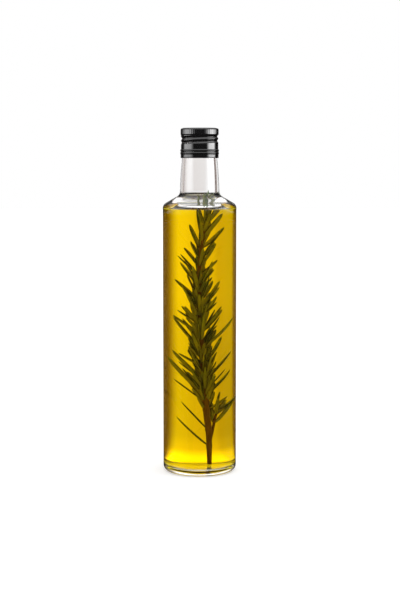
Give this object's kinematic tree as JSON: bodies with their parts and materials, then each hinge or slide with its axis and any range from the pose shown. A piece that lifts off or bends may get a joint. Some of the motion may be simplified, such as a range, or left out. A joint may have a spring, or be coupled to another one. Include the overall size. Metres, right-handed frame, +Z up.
{
  "type": "glass bottle",
  "caption": "Tall clear glass bottle filled with golden oil and a sprig of rosemary, closed with a black rolled-on screw cap.",
  "frame": {"origin": "on the table, in the middle of the ring that the bottle stands on", "axes": "+Z up along the bottle's axis, from base to cap; +X to the right and -Y towards the viewer, as the bottle is the same all round"},
  "size_m": [0.061, 0.061, 0.2863],
  "materials": {
    "clear_glass": "clear, gloss",
    "golden_oil": "clear golden liquid",
    "black_lacquered_cap": "black gloss lacquer on aluminium"
  },
  "bodies": {
    "root": {"glass_bottle": "clear_glass", "oil": "golden_oil", "screw_cap": "black_lacquered_cap"}
  },
  "joints": []
}
